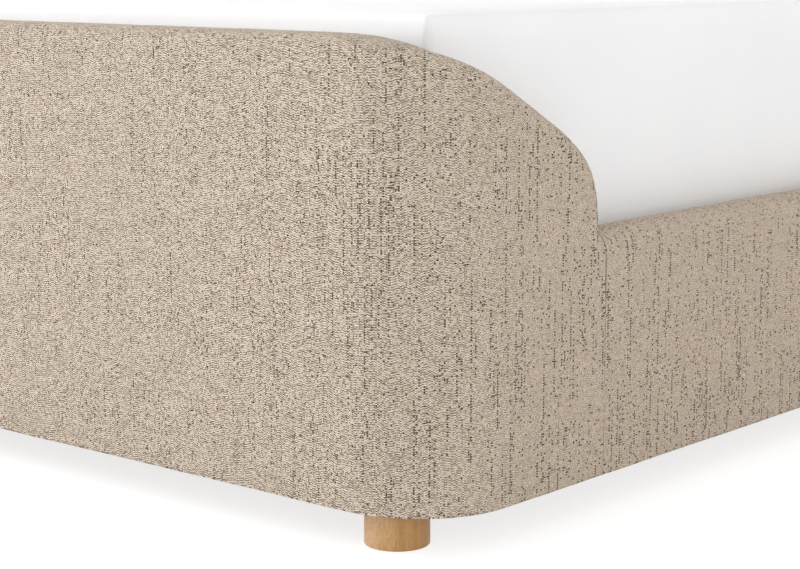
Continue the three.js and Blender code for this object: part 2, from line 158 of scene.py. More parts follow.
def parts(tree, vector):
    made = tree.nodes.new("ShaderNodeSeparateXYZ")
    feed(tree, made.inputs[0], vector)
    return made.outputs


def channels(tree, colour):
    made = tree.nodes.new("ShaderNodeSeparateColor")
    tree.links.new(colour, made.inputs[0])
    return made.outputs


def cells(tree, vector):
    # distance from the middle of a scattered cell, and a random share for the whole cell
    made = tree.nodes.new("ShaderNodeTexVoronoi")
    made.voronoi_dimensions = "2D"
    feed(tree, made.inputs["Vector"], vector)
    made.inputs["Scale"].default_value = 1.0
    return made.outputs["Distance"], channels(tree, made.outputs["Color"])[0]


def chance(tree, first, second):
    # two random shares, the same for every point of one cell
    made = tree.nodes.new("ShaderNodeTexWhiteNoise")
    made.noise_dimensions = "2D"
    tree.links.new(combine(tree, first, second), made.inputs["Vector"])
    return channels(tree, made.outputs["Color"])[:2]


def relief(tree, shader, height, distance):
    made = tree.nodes.new("ShaderNodeBump")
    made.inputs["Distance"].default_value = distance
    feed(tree, made.inputs["Height"], height)
    tree.links.new(made.outputs[0], shader.inputs["Normal"])


def objectPlace(tree):
    return tree.nodes.new("ShaderNodeTexCoord").outputs["Object"]


def clothPlace(tree):
    made = tree.nodes.new("ShaderNodeUVMap")
    made.uv_map = "cloth"
    return made.outputs[0]


def turnedPlace(tree):
    made = tree.nodes.new("ShaderNodeAttribute")
    made.attribute_name = "turned"
    return made.outputs["Vector"]


# oatmeal weave: nubbly upright yarns, and here and there open ends with small holes; the nubs carry
# painted highlights, and the dips between them and the holes carry painted shade
weave = {
    "yarnPitch": 0.0020, "nubPitch": 0.0027, "openPitch": 0.0028, "openRise": 0.0031,
    "groundWarm": tone(201, 182, 164), "groundCool": tone(199, 181, 162),
    "groundPatch": (24, 9, 1), "groundShift": (1.5, 8.0, 0), "groundEdge": (0.35, 0.65),
    # painted light: the nub colour is a painted highlight and the dip and hole colours are painted shade;
    # the dip tone also darkens some stretches of yarn
    "nubHighlight": tone(255, 248, 233), "darkYarnAndDipShade": tone(48, 26, 2), "shadedHole": tone(34, 12, 0), "holeShadeStrength": 0.97,
    # how the yarns wander: how often per metre, and how far
    "swayPatch": (14, 7, 1), "wander": 0.0014, "shakePatch": (520, 300, 1), "jitter": 0.0002,
    "rowPatch": (300, 90, 1), "rowShift": (2.0, 7.0, 0), "rowJitter": 0.20,
    "yarnSeed": 3.3, "pairSeed": 8.1,
    # stretches of yarn that run a little darker
    "runAcross": 0.73, "runUp": 22, "runSeed": 4.0, "runEdge": (0.40, 0.70), "columnTone": 0.05,
    # shares of the pitch, from where a spot fades out to where it is full
    "nubAside": (0.42, 0.28), "nubAlong": (0.30, 0.16), "nubOften": (0.15, 0.60),
    "dipAside": (0.42, 0.28), "dipAlong": (0.21, 0.33), "dipOften": (0.20, 0.66),
    "holeAside": (0.36, 0.31), "holeAlong": (0.31, 0.25), "holeDepth": (0.8, 1.0),
    # how often holes come outside and inside a streak, and how few of them the flat front keeps
    "openFew": 0.035, "openMany": 0.62, "streak": (0.53, 0.66), "streakAcross": 2.7, "streakUp": 6,
    "frontFew": 0.5, "frontFrom": -0.20, "frontTo": 0.02,
    # the pull along the sides widens the holes
    "pull": 0.08, "pullFrom": 0.10, "pullTo": 0.30,
    # how strongly the painted nub highlights and dip shade show on the front, where the key lamp rakes
    # across, and along the sides
    "frontRakingLight": 1.0, "sideRakingLight": 0.50, "rakingLightRun": 0.30,
    "nubHeight": (0.3, 1.0), "holeSink": 0.8, "bump": 0.0009,
}


def weaveFinish():
    w = weave
    finish, tree, shader = startFinish("oatmealWeave", roughness=0.95, specular=0.03)
    place = clothPlace(tree)
    across, up, _ = parts(tree, place)
    fromMiddle = calc(tree, "ABSOLUTE", across)
    sway = fractal(tree, stretched(tree, place, w["swayPatch"]), detail=1)
    shake = fractal(tree, stretched(tree, place, w["shakePatch"]), detail=1)
    rowShake = fractal(tree, stretched(tree, place, w["rowPatch"], w["rowShift"]), detail=1)
    rowShake = times(tree, rowShake, w["rowJitter"])
    u = calc(tree, "MULTIPLY_ADD", shake, w["jitter"], across)
    u = calc(tree, "MULTIPLY_ADD", sway, w["wander"], u)

    # every yarn starts its nubs at its own height; dips lie between two nubs and are painted as shade
    column = calc(tree, "DIVIDE", u, w["yarnPitch"])
    yarn = calc(tree, "FLOOR", column)
    yarnStart = plus(tree, rowShake, chance(tree, yarn, w["yarnSeed"])[0])
    row = plus(tree, calc(tree, "DIVIDE", up, w["nubPitch"]), yarnStart)
    aside, along = offMiddle(tree, column), offMiddle(tree, row)
    nubPick, nubTall = chance(tree, yarn, calc(tree, "FLOOR", row))
    dipPick, _ = chance(tree, plus(tree, yarn, 0.5), calc(tree, "FLOOR", plus(tree, row, 0.5)))
    nubRound = times(tree, remap(tree, aside, *w["nubAside"]), remap(tree, along, *w["nubAlong"]))
    dipRound = times(tree, remap(tree, aside, *w["dipAside"]), remap(tree, along, *w["dipAlong"]))
    # painted light: nub highlights and dip shade are painted stronger on the front, where the key lamp
    # rakes across, and weaker round the corners and along the sides
    rakingLightShare = remap(tree, fromMiddle, flatHalf, flatHalf + w["rakingLightRun"], w["frontRakingLight"], w["sideRakingLight"])

    # neighbours in a pair of open ends start their holes at the same height
    openColumn = calc(tree, "DIVIDE", u, w["openPitch"])
    openYarn = calc(tree, "FLOOR", openColumn)
    pair = calc(tree, "FLOOR", times(tree, openColumn, 0.5))
    pairStart = plus(tree, rowShake, chance(tree, pair, w["pairSeed"])[0])
    openRow = plus(tree, calc(tree, "DIVIDE", up, w["openRise"]), pairStart)
    # long upright streaks in which holes are common
    streakSpot = combine(tree, times(tree, openYarn, w["streakAcross"]), times(tree, up, w["streakUp"]))
    often = remap(tree, fractal(tree, streakSpot), *w["streak"], w["openFew"], w["openMany"])
    front = remap(tree, fromMiddle, flatHalf + w["frontFrom"], flatHalf + w["frontTo"], w["frontFew"], 1.0)
    openPick, openDeep = chance(tree, plus(tree, openYarn, 0.5), calc(tree, "FLOOR", openRow))
    pull = remap(tree, fromMiddle, flatHalf + w["pullFrom"], flatHalf + w["pullTo"], 0.0, w["pull"])
    openAside = remap(tree, minus(tree, offMiddle(tree, openColumn), pull), *w["holeAside"])
    hole = times(tree, openAside, remap(tree, offMiddle(tree, openRow), *w["holeAlong"]))
    # deeper holes sink further and take more painted shade
    hole = times(tree, hole, remap(tree, openDeep, 0, 1, *w["holeDepth"], "LINEAR"))
    shadedHole = times(tree, hole, calc(tree, "LESS_THAN", openPick, times(tree, often, front)))

    patch = fractal(tree, stretched(tree, place, w["groundPatch"], w["groundShift"]))
    ground = blendTone(tree, remap(tree, patch, *w["groundEdge"]), w["groundWarm"], w["groundCool"])
    runSpot = combine(tree, times(tree, yarn, w["runAcross"]), times(tree, up, w["runUp"]), w["runSeed"])
    run = fractal(tree, runSpot, detail=1)
    body = blendTone(tree, remap(tree, run, *w["runEdge"], 0.0, w["columnTone"]), ground, w["darkYarnAndDipShade"])
    # painted shade in the dips between nubs, stronger on the front
    dipShade = times(tree, times(tree, dipRound, remap(tree, dipPick, *w["dipOften"])), rakingLightShare)
    body = blendTone(tree, dipShade, body, w["darkYarnAndDipShade"])
    # painted highlights on the nubs, stronger on the front
    nubHighlights = times(tree, times(tree, nubRound, remap(tree, nubPick, *w["nubOften"])), rakingLightShare)
    body = blendTone(tree, nubHighlights, body, w["nubHighlight"])
    # painted shade in the holes
    body = blendTone(tree, times(tree, shadedHole, w["holeShadeStrength"]), body, w["shadedHole"])
    tree.links.new(body, shader.inputs["Base Color"])

    height = times(tree, nubRound, remap(tree, nubTall, 0, 1, *w["nubHeight"], "LINEAR"))
    height = minus(tree, height, times(tree, shadedHole, w["holeSink"]))
    relief(tree, shader, height, w["bump"])
    return finish


# white knitted ticking
ticking = {
    "white": tone(249, 249, 249), "shade": tone(246, 246, 247),
    "rib": 0.0016, "course": 0.0021, "slant": 0.5, "knitTone": 0.12,
    "cloud": 5, "cloudEdge": (0.3, 0.7), "fuzz": 420, "fuzzHeight": 1.2, "bump": 0.00012,
}


def tickingFinish():
    t = ticking
    finish, tree, shader = startFinish(
        "whiteTicking", roughness=0.9, specular=0.2, sheen=0.08, sheenRoughness=0.5)
    place = objectPlace(tree)
    x, y, z = parts(tree, place)
    ribs = calc(tree, "SINE", times(tree, plus(tree, x, y), 2 * math.pi / t["rib"]))
    rise = plus(tree, z, times(tree, y, t["slant"]))
    courses = calc(tree, "SINE", times(tree, rise, 2 * math.pi / t["course"]))
    knit = times(tree, ribs, courses)
    cloudy = fractal(tree, place, scale=t["cloud"], detail=3)
    body = blendTone(tree, remap(tree, cloudy, *t["cloudEdge"]), t["shade"], t["white"])
    body = blendTone(tree, remap(tree, knit, -1, 1, 0.0, t["knitTone"]), body, t["shade"])
    tree.links.new(body, shader.inputs["Base Color"])
    fuzz = times(tree, fractal(tree, place, scale=t["fuzz"], detail=1), t["fuzzHeight"])
    relief(tree, shader, plus(tree, knit, fuzz), t["bump"])
    return finish


# timbers
beech = {
    "pale": tone(196, 152, 97), "warm": tone(182, 136, 80),
    # painted light: the paler side tone stands in for the lamp's light on one side of the turning
    "paintedLitSide": tone(212, 174, 131), "fleck": tone(150, 106, 62),
    "poreGrain": (760, 760, 150), "poreEdge": (0.42, 0.70), "poreTone": 0.40,
    "broadGrain": (60, 60, 4), "broadEdge": (0.35, 0.65),
    "paintedLitFrom": -0.034, "paintedLitTo": 0.004, "paintedLitWave": 0.012,
    "rayGrain": (900, 240), "rayEdge": (0.32, 0.12), "rayOften": 0.22, "rayTone": 0.35,
    "gloss": (0.40, 0.52), "bump": 0.00006,
}


def beechFinish():
    b = beech
    finish, tree, shader = startFinish("oiledBeech", roughness=0.45, specular=0.5)
    place = turnedPlace(tree)
    x, _, z = parts(tree, place)
    fine = fractal(tree, stretched(tree, place, b["poreGrain"]))
    broad = fractal(tree, stretched(tree, place, b["broadGrain"]))
    body = blendTone(tree, remap(tree, broad, *b["broadEdge"]), b["pale"], b["warm"])
    # painted light: one side of the turning is painted paler, standing in for the lamp's light on that
    # side
    paintedLitEdge = calc(tree, "MULTIPLY_ADD", minus(tree, broad, 0.5), b["paintedLitWave"], x)
    body = blendTone(tree, remap(tree, paintedLitEdge, b["paintedLitTo"], b["paintedLitFrom"]), body, b["paintedLitSide"])
    body = blendTone(tree, remap(tree, fine, *b["poreEdge"], 0.0, b["poreTone"]), body, b["fleck"])
    # short ray flecks
    rayAcross, rayAlong = b["rayGrain"]
    rayAway, rayPick = cells(tree, combine(tree, times(tree, x, rayAcross), times(tree, z, rayAlong)))
    ray = times(tree, remap(tree, rayAway, *b["rayEdge"]), calc(tree, "LESS_THAN", rayPick, b["rayOften"]))
    body = blendTone(tree, times(tree, ray, b["rayTone"]), body, b["fleck"])
    tree.links.new(body, shader.inputs["Base Color"])
    tree.links.new(remap(tree, fine, *noiseBand, *b["gloss"]), shader.inputs["Roughness"])
    relief(tree, shader, minus(tree, fine, ray), b["bump"])
    return finish


pine = {
    "pale": tone(228, 200, 158), "late": tone(196, 154, 104),
    # grain along the piece, across it and through it
    "ringAlong": 1.6, "ringAcross": 70, "ringUp": 90, "fibreAlong": 9, "fibreAcross": 700,
    "ringScale": 0.35, "ringWarp": 0.4, "ringCount": 9.0, "ringEdge": (0.55, 0.98), "ringTone": 0.75,
    "fibreEdge": (0.45, 0.7), "fibreTone": 0.3, "gloss": (0.52, 0.7), "ringHeight": 0.5, "bump": 0.0001,
}


def pineFinish(name, alongY=False):
    p = pine
    finish, tree, shader = startFinish(name, roughness=0.62, specular=0.3)
    place = objectPlace(tree)
    rings, fibre = (p["ringAlong"], p["ringAcross"]), (p["fibreAlong"], p["fibreAcross"])
    if alongY:
        rings, fibre = rings[::-1], fibre[::-1]
    rings = stretched(tree, place, (*rings, p["ringUp"]))
    fibre = stretched(tree, place, (*fibre, p["fibreAcross"]))
    ring = fractal(tree, rings, scale=p["ringScale"], detail=1, distortion=p["ringWarp"])
    ring = calc(tree, "FRACT", times(tree, ring, p["ringCount"]))
    thin = fractal(tree, fibre)
    body = blendTone(tree, remap(tree, ring, *p["ringEdge"], 0.0, p["ringTone"]), p["pale"], p["late"])
    body = blendTone(tree, remap(tree, thin, *p["fibreEdge"], 0.0, p["fibreTone"]), body, p["late"])
    tree.links.new(body, shader.inputs["Base Color"])
    tree.links.new(remap(tree, thin, *noiseBand, *p["gloss"]), shader.inputs["Roughness"])
    relief(tree, shader, plus(tree, thin, times(tree, ring, p["ringHeight"])), p["bump"])
    return finish


ply = {
    "pale": tone(214, 182, 138), "warm": tone(198, 162, 116),
    "fibre": tone(170, 130, 86), "glue": tone(140, 100, 64),
    "sheetGrain": (7, 7, 60), "sheetWarp": 0.3, "sheetEdge": (0.35, 0.65),
    "fibreGrain": (40, 40, 900), "fibreEdge": (0.5, 0.75), "fibreTone": 0.35,
    "layer": 0.0028, "layerEdge": (0.45, 0.55), "layerTone": 0.10, "bump": 0.0001,
}


def plyFinish():
    p = ply
    finish, tree, shader = startFinish("birchPly", roughness=0.65, specular=0.3)
    place = objectPlace(tree)
    sheet = fractal(tree, stretched(tree, place, p["sheetGrain"]), detail=3, distortion=p["sheetWarp"])
    fibre = fractal(tree, stretched(tree, place, p["fibreGrain"]))
    layer = calc(tree, "FRACT", times(tree, parts(tree, place)[2], 1 / p["layer"]))
    body = blendTone(tree, remap(tree, sheet, *p["sheetEdge"]), p["pale"], p["warm"])
    body = blendTone(tree, remap(tree, fibre, *p["fibreEdge"], 0.0, p["fibreTone"]), body, p["fibre"])
    body = blendTone(tree, remap(tree, layer, *p["layerEdge"], 0.0, p["layerTone"]), body, p["glue"])
    tree.links.new(body, shader.inputs["Base Color"])
    relief(tree, shader, plus(tree, fibre, sheet), p["bump"])
    return finish


# foam and webbing
foam = {
    "pore": tone(206, 198, 172), "cream": tone(236, 229, 208), "aged": tone(222, 208, 170),
    "poreGrain": 900, "poreEdge": (0.3, 0.6), "agedPatch": 7, "agedEdge": (0.4, 0.7), "agedTone": 0.3,
    "bump": 0.0006,
}


def foamFinish():
    f = foam
    finish, tree, shader = startFinish("creamFoam", roughness=0.95, specular=0.1)
    place = objectPlace(tree)
    pores = fractal(tree, place, scale=f["poreGrain"])
    patches = fractal(tree, place, scale=f["agedPatch"])
    body = blendTone(tree, remap(tree, pores, *f["poreEdge"]), f["pore"], f["cream"])
    body = blendTone(tree, remap(tree, patches, *f["agedEdge"], 0.0, f["agedTone"]), body, f["aged"])
    tree.links.new(body, shader.inputs["Base Color"])
    relief(tree, shader, pores, f["bump"])
    return finish


webbing = {
    "light": tone(214, 209, 198), "dark": tone(178, 172, 158), "lint": tone(232, 228, 219),
    "slant": 1.6, "twill": 2400.0, "twillTone": 0.6,
    "fuzz": 700, "fuzzEdge": (0.4, 0.7), "fuzzTone": 0.4, "bump": 0.0003,
}


def webbingFinish():
    w = webbing
    finish, tree, shader = startFinish("cottonWebbing", roughness=0.9, specular=0.15, sheen=0.2)
    place = objectPlace(tree)
    x, y, _ = parts(tree, place)
    twill = calc(tree, "SINE", times(tree, plus(tree, times(tree, x, w["slant"]), y), w["twill"]))
    fuzz = fractal(tree, place, scale=w["fuzz"])
    body = blendTone(tree, remap(tree, twill, -1, 1, 0.0, w["twillTone"]), w["light"], w["dark"])
    body = blendTone(tree, remap(tree, fuzz, *w["fuzzEdge"], 0.0, w["fuzzTone"]), body, w["lint"])
    tree.links.new(body, shader.inputs["Base Color"])
    relief(tree, shader, plus(tree, twill, fuzz), w["bump"])
    return finish


# metals
zinc = {
    "dull": tone(176, 178, 180), "bright": tone(204, 205, 206),
    "spangle": 260, "spangleEdge": (0.35, 0.65),
    "rubGrain": (900, 900, 120), "gloss": (0.26, 0.46), "bump": 0.00003,
}


def zincFinish():
    z = zinc
    finish, tree, shader = startFinish("zincSteel", roughness=0.35, metallic=1.0)
    place = objectPlace(tree)
    spangle = fractal(tree, place, scale=z["spangle"], detail=3)
    rub = fractal(tree, stretched(tree, place, z["rubGrain"]))
    body = blendTone(tree, remap(tree, spangle, *z["spangleEdge"]), z["dull"], z["bright"])
    tree.links.new(body, shader.inputs["Base Color"])
    tree.links.new(remap(tree, rub, *noiseBand, *z["gloss"]), shader.inputs["Roughness"])
    relief(tree, shader, rub, z["bump"])
    return finish


powderCoat = {
    "black": tone(38, 38, 40), "dust": tone(66, 65, 64),
    "dustPatch": 30, "dustEdge": (0.45, 0.75), "dustTone": 0.5,
    "glossEdge": (0.4, 0.7), "gloss": (0.42, 0.6), "peel": 1400, "bump": 0.00008,
}


def powderCoatFinish():
    p = powderCoat
    finish, tree, shader = startFinish("blackPowderCoat", roughness=0.5, specular=0.45)
    place = objectPlace(tree)
    peel = fractal(tree, place, scale=p["peel"], detail=1)
    dust = fractal(tree, place, scale=p["dustPatch"], detail=4)
    body = blendTone(tree, remap(tree, dust, *p["dustEdge"], 0.0, p["dustTone"]), p["black"], p["dust"])
    tree.links.new(body, shader.inputs["Base Color"])
    tree.links.new(remap(tree, dust, *p["glossEdge"], *p["gloss"]), shader.inputs["Roughness"])
    relief(tree, shader, peel, p["bump"])
    return finish


oatmealWeave = weaveFinish()
whiteTicking = tickingFinish()
oiledBeech = beechFinish()
pineAcross = pineFinish("pineAcross")
pineAlong = pineFinish("pineAlong", alongY=True)
birchPly = plyFinish()
creamFoam = foamFinish()
cottonWebbing = webbingFinish()
zincSteel = zincFinish()
blackPowderCoat = powderCoatFinish()
print("finishes made")


# helpers that make the pieces
def meshFrom(bm, name):
    mesh = bpy.data.meshes.new(name)
    bm.to_mesh(mesh)
    bm.free()
    return mesh


def addObject(name, data):
    made = bpy.data.objects.new(name, data)
    bpy.context.scene.collection.objects.link(made)
    return made


def give(piece, finish):
    piece.data.materials.clear()
    piece.data.materials.append(finish)


def newPiece(name, mesh, finish, body):
    piece = addObject(name, mesh)
    give(piece, finish)
    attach(piece, body)
    return piece


def smoothFaces(bm):
    for face in bm.faces:
        face.smooth = True


def crispEdges(bm):
    for edge in bm.edges:
        edge.smooth = edge.calc_face_angle(0) < sharpAngle


def boxMesh(low, high):
    bm = bmesh.new()
    bmesh.ops.create_cube(bm, size=1.0)
    bmesh.ops.scale(bm, verts=bm.verts, vec=high - low)
    bmesh.ops.translate(bm, verts=bm.verts, vec=(low + high) / 2)
    return bm


# the swept panels: cloth cut flat, folded over the board's top edge, bent round the corners
panel = {
    "thick": 0.060, "boardRoll": 0.011, "wingRoll": 0.015, "railRoll": 0.026, "rollEasesFrom": 0.67,
    "hemRoll": 0.005, "hemReturn": 0.028, "hemFold": 0.6, "linerBottom": 0.292, "padding": 0.0092,
    "seam": 0.0004,
    "flatStep": 0.024, "turnSteps": 3, "arcSteps": 16, "fallSteps": 5, "shoulderSteps": 14, "fanSteps": 6,
    "hemSteps": 4, "faceRows": 30, "rollRows": 6, "linerRows": 10, "weld": 0.00005,
    # foam under the cloth is never quite flat
    "softness": 0.0006, "softScale": 9.0, "softFiner": 2.7, "softShift": (3.1, 0.4, 5.2), "softShare": 0.5,
    # how far before the seam each of its last strips lies, and how deep it is tucked in
    "tuck": ((0.0008, 0.0), (0.0003, 0.0002), (0.0001, 0.0006), (0.0, 0.0014)),
    "skinDepth": 0.002,    # faces this near the outside count as the outer skin
    "railShift": 7.0,      # rails are cut from another stretch of the cloth
}
# the wing's edge at the footboard, in metres along the cloth and above the floor
wingFall = ((-0.070, 0.572), (0.125, 0.572), (0.180, 0.527), (0.271, 0.481))
wingShoulder = ((0.271, 0.481), (0.3486, 0.4418), (0.3876, 0.430), (0.3876, 0.3395))
wingTop = wingFall[0][1]
wingRun, wingBottom = wingShoulder[-1]
halvings = 40   # finds a share to a millionth of a millionth


def curveAt(points, t):
    # spot and heading on a curve with four handles
    u = 1 - t
    shares = (u ** 3, 3 * u * u * t, 3 * u * t * t, t ** 3)
    slopes = (3 * u * u, 6 * u * t, 3 * t * t)
    spot = Vector((0, 0))
    lean = Vector((0, 0))
    for share, point in zip(shares, points):
        spot += share * Vector(point)
    for k, slope in enumerate(slopes):
        lean += slope * (Vector(points[k + 1]) - Vector(points[k]))
    return spot, lean.normalized()


def shareAt(points, s):
    # share of the curve at which it passes the run given
    low, high = 0.0, 1.0
    for _ in range(halvings):
        mid = (low + high) / 2
        if curveAt(points, mid)[0].x < s:
            low = mid
        else:
            high = mid
    return high


def evenly(start, stop, steps):
    return [start + (stop - start) * (i + 1) / steps for i in range(steps)]


def quarterTurn(steps):
    return [i / steps * math.pi / 2 for i in range(steps + 1)]


def wingStations(top, run):
    # places along the top edge from the front round the corner to the seam: run s and height z
    # of the edge, the way ns, nz into the cloth, its roll, and the foot of the strip below
    p = panel
    wide = run / wingRun
    tall = (top - railTop) / (wingTop - wingBottom)
    fall, shoulder = ([(s * wide, railTop + (z - wingBottom) * tall) for s, z in curve]
                      for curve in (wingFall, wingShoulder))
    bend, leave = shareAt(fall, 0.0), shareAt(fall, arcRun)
    shares = [0.0] + evenly(0.0, bend, p["turnSteps"]) + evenly(bend, leave, p["arcSteps"])
    shares += evenly(leave, 1.0, p["fallSteps"])
    samples = [curveAt(fall, share) for share in shares]
    samples += [curveAt(shoulder, share) for share in evenly(0.0, 1.0, p["shoulderSteps"])]
    stations = []
    for spot, lean in samples:
        share = max(0.0, spot.x / run)
        ease = min(1.0, max(0.0, (share - p["rollEasesFrom"]) / (1 - p["rollEasesFrom"])))
        ease = ease * ease * (3 - 2 * ease)
        roll = p["boardRoll"] + (p["wingRoll"] - p["boardRoll"]) * share
        roll += (p["railRoll"] - p["wingRoll"]) * ease
        stations.append({"s": spot.x, "z": spot.y, "ns": lean.y, "nz": -lean.x, "roll": roll})
    # the strips fan round the point where the wing meets the rail's top
    for turn in quarterTurn(p["fanSteps"])[1:]:
        stations.append({"s": run, "z": railTop, "ns": -math.cos(turn), "nz": -math.sin(turn),
                         "roll": p["railRoll"]})
    # the foot of each station: straight below inside the corner, then shared out evenly to the seam
    walk, first, before = 0.0, None, None
    for st in stations:
        edge = (st["s"] + st["ns"] * st["roll"], st["z"] + st["nz"] * st["roll"])
        st["foot"] = edge[0]
        if st["foot"] > arcRun:
            if first is None:
                first = st["foot"]
            else:
                walk += math.dist(edge, before)
            st["walk"] = walk
        before = edge
    for st in stations:
        if "walk" in st:
            st["foot"] = first + (run - first) * st["walk"] / walk
    return stations


def foldedSection(st, inset=0.0):
    # one strip of cloth from the hem under the board, up its face, over the edge and down inside
    p = panel
    s, z, ns, nz, roll, foot = (st[k] for k in ("s", "z", "ns", "nz", "roll", "foot"))
    hem, start = hemHeight + inset, hemHeight + p["hemRoll"]
    low = p["hemRoll"] - inset
    strip = [(foot, hem, p["hemReturn"]), (foot, hem, p["hemReturn"] * p["hemFold"])]
    for turn in quarterTurn(p["hemSteps"]):
        strip.append((foot, start - low * math.cos(turn), p["hemRoll"] - low * math.sin(turn)))
    qs, qz = s + ns * roll, z + nz * roll
    for i in range(1, p["faceRows"]):
        share = i / p["faceRows"]
        strip.append((foot + (qs - foot) * share, start + (qz - start) * share, inset))
    for turn in quarterTurn(p["rollRows"]):
        d = roll - (roll - inset) * math.sin(turn)
        strip.append((s + ns * d, z + nz * d, roll - (roll - inset) * math.cos(turn)))
    strip.append((s + ns * inset, z + nz * inset, p["thick"] / 2))
    for turn in quarterTurn(p["rollRows"]):
        d = roll - (roll - inset) * math.cos(turn)
        strip.append((s + ns * d, z + nz * d, p["thick"] - roll + (roll - inset) * math.sin(turn)))
    reach = (qz - p["linerBottom"]) / (qz - hemHeight)
    for i in range(1, p["linerRows"] + 1):
        share = i / p["linerRows"]
        down = qz + (p["linerBottom"] - qz) * share
        strip.append((qs + (foot - qs) * reach * share, down, p["thick"] - inset))
    return strip


def boardPlace(side, end, s, z, depth):
    # a point of the flat cloth bent round the corner to where it lies
    if s <= 0:
        x, y = flatHalf + s, depth
    elif s <= arcRun:
        turn = s / cornerRadius
        x = flatHalf + (cornerRadius - depth) * math.sin(turn)
        y = cornerRadius - (cornerRadius - depth) * math.cos(turn)
    else:
        x, y = halfWidth - depth, cornerRadius + s - arcRun
    return Vector((side * x, end * (halfLength - y), z))


def foldCloth(columns, place, shift=None):
    # columns are the strips side by side; place bends a point of a strip to where it lies
    rows = len(columns[0][1])
    bm = bmesh.new()
    bmesh.ops.create_grid(bm, x_segments=len(columns) - 1, y_segments=rows - 1, size=1.0)
    cloth = bm.loops.layers.uv.new("cloth")
    spots = {}
    for vert in bm.verts:
        i = round((vert.co.x + 1) / 2 * (len(columns) - 1))
        j = round((vert.co.y + 1) / 2 * (rows - 1))
        side, strip = columns[i]
        s, z, depth = strip[j]
        spots[vert] = (side * (flatHalf + s) if shift is None else s + shift, z + depth)
        vert.co = place(side, s, z, depth)
    smoothFaces(bm)
    for face in bm.faces:
        for loop in face.loops:
            loop[cloth].uv = spots[loop.vert]
    bmesh.ops.remove_doubles(bm, verts=bm.verts, dist=panel["weld"])
    bm.normal_update()
    return bm


def turnOutward(bm, axis, sign, edge):
    outer = [f for f in bm.faces if abs(f.calc_center_median()[axis]) > edge - panel["skinDepth"]]
    if sum(f.normal[axis] * sign for f in outer) < 0:
        bmesh.ops.reverse_faces(bm, faces=bm.faces)
    bm.normal_update()


def softenCloth(bm):
    shift = Vector(panel["softShift"])
    for vert in bm.verts:
        spot = vert.co * panel["softScale"]
        rise = noise.noise(spot) + panel["softShare"] * noise.noise(spot * panel["softFiner"] + shift)
        vert.co += vert.normal * rise * panel["softness"]


def finishCloth(bm, name, body, replaced):
    softenCloth(bm)
    piece = newPiece(name, meshFrom(bm, name), oatmealWeave, body)
    wall = piece.modifiers.new("padding", "SOLIDIFY")
    wall.thickness = panel["padding"]
    wall.offset = -1.0
    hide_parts(*replaced)


def makeBoard(name, end, top, run, replaced):
    stations = wingStations(top, run)
    first, last = stations[0], stations[-1]
    wing = [foldedSection(st) for st in stations[:-1]]
    for back, inset in panel["tuck"]:
        wing.append(foldedSection({**last, "s": last["s"] - back, "foot": last["foot"] - back}, inset))
    columns = [(-1, strip) for strip in reversed(wing)]
    reach = flatHalf + first["s"]
    flatCount = max(2, round(2 * flatHalf / panel["flatStep"]))
    for i in range(1, flatCount):
        x = -reach + 2 * reach * i / flatCount
        s = abs(x) - flatHalf
        level = {**first, "s": s, "foot": s, "ns": 0.0, "nz": -1.0}
        columns.append((-1 if x < 0 else 1, foldedSection(level)))
    columns += [(1, strip) for strip in wing]
    bm = foldCloth(columns, lambda side, s, z, depth: boardPlace(side, end, s, z, depth))
    bmesh.ops.recalc_face_normals(bm, faces=bm.faces)
    turnOutward(bm, 1, end, halfLength)
    finishCloth(bm, name, "frame", replaced)


def makeRail(name, side, replaced):
    start, stop = railPanelBox[0].y, railPanelBox[1].y
    strip = {"s": 0.0, "z": railTop, "ns": 0.0, "nz": -1.0, "roll": panel["railRoll"], "foot": 0.0}
    steps = round((stop - start) / panel["flatStep"])
    places = [(start + back, inset) for back, inset in reversed(panel["tuck"])]
    places += [(start + (stop - start) * i / steps, 0.0) for i in range(1, steps)]
    places += [(stop - back, inset) for back, inset in panel["tuck"]]
    columns = []
    for y, inset in places:
        columns.append((side, [(s + y, z, depth) for s, z, depth in foldedSection(strip, inset)]))
    bm = foldCloth(columns, lambda _, s, z, depth: Vector((side * (halfWidth - depth), s, z)),
                   side * panel["railShift"])
    turnOutward(bm, 0, side, halfWidth)
    finishCloth(bm, name, "frame", replaced)


footRun = railPanelBox[0].y - panel["seam"] + halfLength - cornerRadius + arcRun
headRun = halfLength - railPanelBox[1].y - panel["seam"] - cornerRadius + arcRun
makeBoard("footboardUpholstery", -1, footPanelBox[1].z, footRun, ("footboard_cover", "footboard_foam"))
makeBoard("headboardUpholstery", 1, headPanelBox[1].z, headRun, ("headboard_cover", "headboard_foam"))
for label, side in (("left", -1), ("right", 1)):
    makeRail(label + "RailUpholstery", side, (f"rail_{label}_cover", f"rail_{label}_foam"))
print("upholstery folded")

# mattress: a foam block whose ticking is blown taut, so its sides and top crown between the edges
mattress = {
    "sideRound": 0.010, "edgeRound": 0.025, "step": 0.030, "shrink": 0.0015,
    "roundCuts": (0.12, 0.35, 0.6, 0.82),    # shares of a rounding at which it is cut
    "pressure": 4.0, "frames": 20, "topCap": 0.005, "sideCap": 0.010, "stiffness": 40.0,
    "quality": 6, "mass": 0.4, "foamHold": 0.3, "foamPush": 1.0,
}


